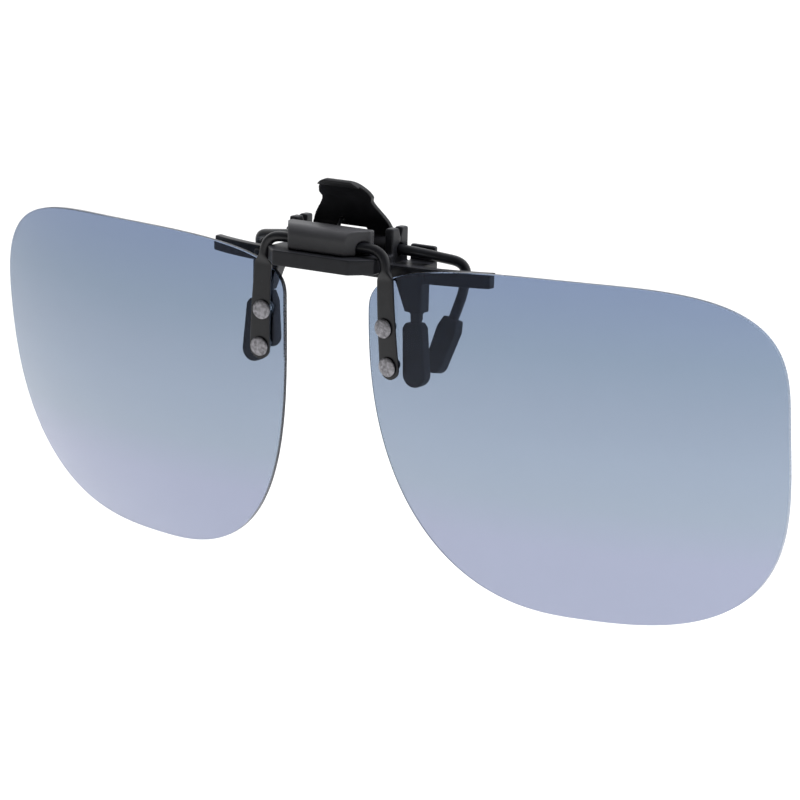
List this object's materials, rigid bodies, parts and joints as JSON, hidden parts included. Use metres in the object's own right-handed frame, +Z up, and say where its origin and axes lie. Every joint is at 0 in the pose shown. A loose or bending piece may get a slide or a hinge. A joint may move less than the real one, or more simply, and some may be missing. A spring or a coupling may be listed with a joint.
{
  "type": "flip-up clip-on sunglasses",
  "caption": "Rimless tinted lenses on a flip-up wire hinge, with a sprung claw clamp that grips the bridge of a pair of spectacles.",
  "frame": {"origin": "on the symmetry plane, 1.2 mm behind the flat rear faces of the two front claw sleeves, in the gap where the spectacles are gripped", "axes": "+X to the right along the span of the lenses as seen from in front, -Y out of the front of the lenses, +Y towards the wearer, +Z up"},
  "size_m": [0.1316, 0.0207, 0.0587],
  "materials": {
    "black_metal": "satin black",
    "black_wire": "satin black, smooth",
    "black_housing": "fine matte grain",
    "spring_steel": "bright",
    "bright_rivet": "bright, lightly brushed",
    "clear_washer": "clear",
    "tinted_lens": "polished, blue-grey tint that turns lavender at the bottom",
    "black_rubber": "matte"
  },
  "bodies": {
    "frame": {"bridge_frame": "black_metal", "hinge_housing": "black_housing", "friction_spring": "spring_steel", "torsion_spring": "spring_steel", "housing_screw_left": "spring_steel", "housing_screw_right": "spring_steel", "front_sleeve_left": "black_rubber", "front_sleeve_right": "black_rubber"},
    "lenses": {"lens_wire": "black_wire", "lens_left": "tinted_lens", "lens_right": "tinted_lens", "rivet_upper_left": "bright_rivet", "washer_upper_left": "clear_washer", "rivet_lower_left": "bright_rivet", "washer_lower_left": "clear_washer", "rivet_upper_right": "bright_rivet", "washer_upper_right": "clear_washer", "rivet_lower_right": "bright_rivet", "washer_lower_right": "clear_washer"},
    "claws": {"claw_wire": "black_wire", "thumb_lever": "black_metal", "rear_sleeve_left": "black_rubber", "rear_sleeve_right": "black_rubber"}
  },
  "joints": [
    {"name": "lens_flip", "type": "hinge", "parent": "frame", "child": "lenses", "pos_m": [0, -0.0054, 0.0145], "axis": [-1, 0, 0], "range_deg": [0, 90]},
    {"name": "clamp_open", "type": "hinge", "parent": "frame", "child": "claws", "pos_m": [0, 0.0004, 0.0138], "axis": [1, 0, 0], "range_deg": [0, 28], "stiffness_Nm_per_rad": 0.03, "springref_deg": -34.38, "deforming": ["torsion_spring"]}
  ]
}
